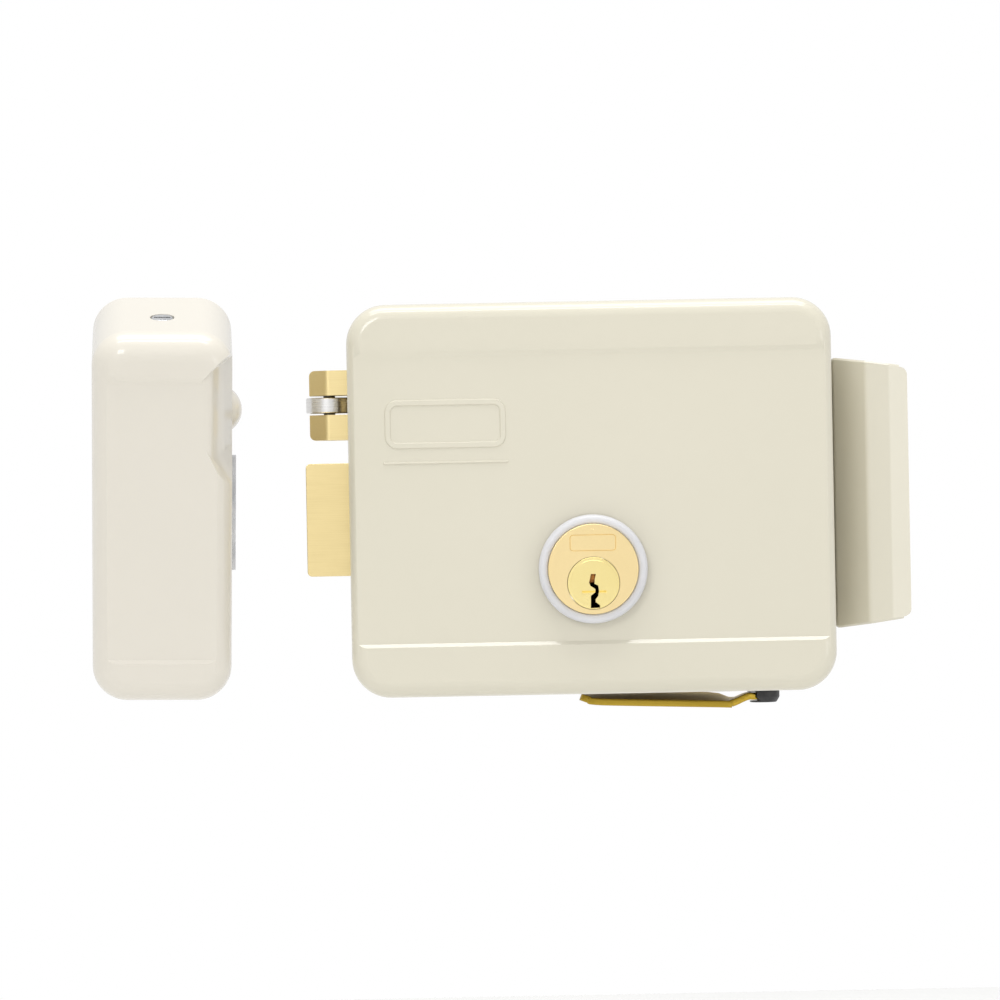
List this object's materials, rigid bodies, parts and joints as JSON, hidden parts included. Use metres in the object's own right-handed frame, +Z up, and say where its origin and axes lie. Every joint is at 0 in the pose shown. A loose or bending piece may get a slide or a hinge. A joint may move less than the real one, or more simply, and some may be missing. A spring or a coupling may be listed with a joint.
{
  "type": "electric rim lock with strike box",
  "caption": "Surface-mounted electric rim lock in a painted case with key cylinder, latch, roller trigger, pull and inside lever, and its matching strike box.",
  "frame": {"origin": "centre of the lock back plate's rear face, on the door's surface", "axes": "+Z up, lock face towards -Y, bolts and strike box towards -X"},
  "size_m": [0.2125, 0.0646, 0.1084],
  "materials": {
    "cream_paint": "gloss",
    "brass": "satin brushed",
    "plated_steel": "zinc plated",
    "dark_steel": "oiled",
    "black_nylon": "matte",
    "clear_nylon": "translucent satin",
    "copper_winding": "enamelled wire",
    "red_pvc": "satin"
  },
  "bodies": {
    "lock_body": {"case_cover": "cream_paint", "back_plate": "plated_steel", "cable_grommet": "black_nylon", "cover_screw_top": "plated_steel", "cover_screw_bottom": "plated_steel", "door_pull": "cream_paint", "pull_rivet_upper": "plated_steel", "pull_rivet_lower": "plated_steel", "cylinder_body": "brass", "cylinder_ring": "clear_nylon", "cylinder_bracket": "plated_steel", "cylinder_clip": "dark_steel", "bracket_post_left": "plated_steel", "bracket_post_right": "plated_steel", "bracket_screw_left": "plated_steel", "bracket_screw_right": "plated_steel", "bolt_guide": "plated_steel", "guide_screw_upper": "plated_steel", "guide_screw_lower": "plated_steel", "spring_bracket": "plated_steel", "spring_bracket_screw": "plated_steel", "latch_spring": "dark_steel", "trigger_spring": "dark_steel", "lever_bush": "black_nylon", "spindle_bracket": "plated_steel", "spindle_bracket_screw": "plated_steel", "solenoid_frame": "plated_steel", "solenoid_bobbin": "black_nylon", "solenoid_winding": "copper_winding", "solenoid_pole": "dark_steel", "plunger_spring": "dark_steel", "catch_pivot": "dark_steel", "terminal_block": "black_nylon", "terminal_screw_left": "plated_steel", "terminal_screw_right": "plated_steel", "lead_left": "red_pvc", "lead_right": "red_pvc"},
    "latch": {"latch_bolt": "brass", "retractor_plate": "plated_steel", "retractor_rivet": "plated_steel"},
    "trigger": {"trigger_bolt": "brass", "roller_pin": "dark_steel"},
    "trigger_roller": {"roller": "plated_steel"},
    "key_plug": {"cylinder_plug": "brass", "cylinder_cam": "plated_steel", "cam_screw": "plated_steel"},
    "lever": {"inside_lever": "brass", "lever_hub": "black_nylon", "lever_spindle": "dark_steel", "lever_crank": "plated_steel"},
    "plunger": {"solenoid_plunger": "dark_steel", "plunger_pin": "plated_steel"},
    "catch": {"catch_lever": "plated_steel"},
    "strike": {"strike_cover": "cream_paint", "strike_base": "plated_steel", "strike_keeper": "plated_steel", "keeper_rivet_lower": "plated_steel", "keeper_rivet_upper": "plated_steel", "strike_cover_screw": "plated_steel"}
  },
  "joints": [
    {"name": "inside_lever_turn", "type": "hinge", "parent": "lock_body", "child": "lever", "pos_m": [0.0438, -0.015, -0.0533], "axis": [0, 0, 1], "range_deg": [0, 36.1]},
    {"name": "latch_slide", "type": "slide", "parent": "lock_body", "child": "latch", "axis": [1, 0, 0], "range_m": [0, 0.0115], "stiffness_N_per_m": 200, "springref_m": -0.01, "deforming": ["latch_spring"]},
    {"name": "trigger_slide", "type": "slide", "parent": "lock_body", "child": "trigger", "axis": [1, 0, 0], "range_m": [0, 0.009], "stiffness_N_per_m": 250, "springref_m": -0.008, "deforming": ["trigger_spring"]},
    {"name": "roller_spin", "type": "hinge", "parent": "trigger", "child": "trigger_roller", "pos_m": [-0.067, -0.019, 0.025], "axis": [0, 0, 1], "continuous": true},
    {"name": "key_turn", "type": "hinge", "parent": "lock_body", "child": "key_plug", "pos_m": [0, -0.043, -0.0218], "axis": [0, 1, 0], "range_deg": [0, 80]},
    {"name": "plunger_slide", "type": "slide", "parent": "lock_body", "child": "plunger", "axis": [1, 0, 0], "range_m": [0, 0.004], "stiffness_N_per_m": 100, "springref_m": -0.005, "deforming": ["plunger_spring"]},
    {"name": "catch_turn", "type": "hinge", "parent": "lock_body", "child": "catch", "pos_m": [-0.006, -0.017, 0.01], "axis": [0, 1, 0], "range_deg": [0, 17.7]},
    {"name": "strike_straighten", "type": "hinge", "parent": "lock_body", "child": "strike", "pos_m": [-0.10985, -0.0292, -0.04497], "axis": [-0.9806, -0.0896, -0.1744], "range_deg": [0, 17.81]}
  ],
  "couplings": [
    {"joint": "inside_lever_turn", "follows": "latch_slide", "rad_per_m": 54.707},
    {"joint": "catch_turn", "follows": "plunger_slide", "rad_per_m": 76.923}
  ]
}
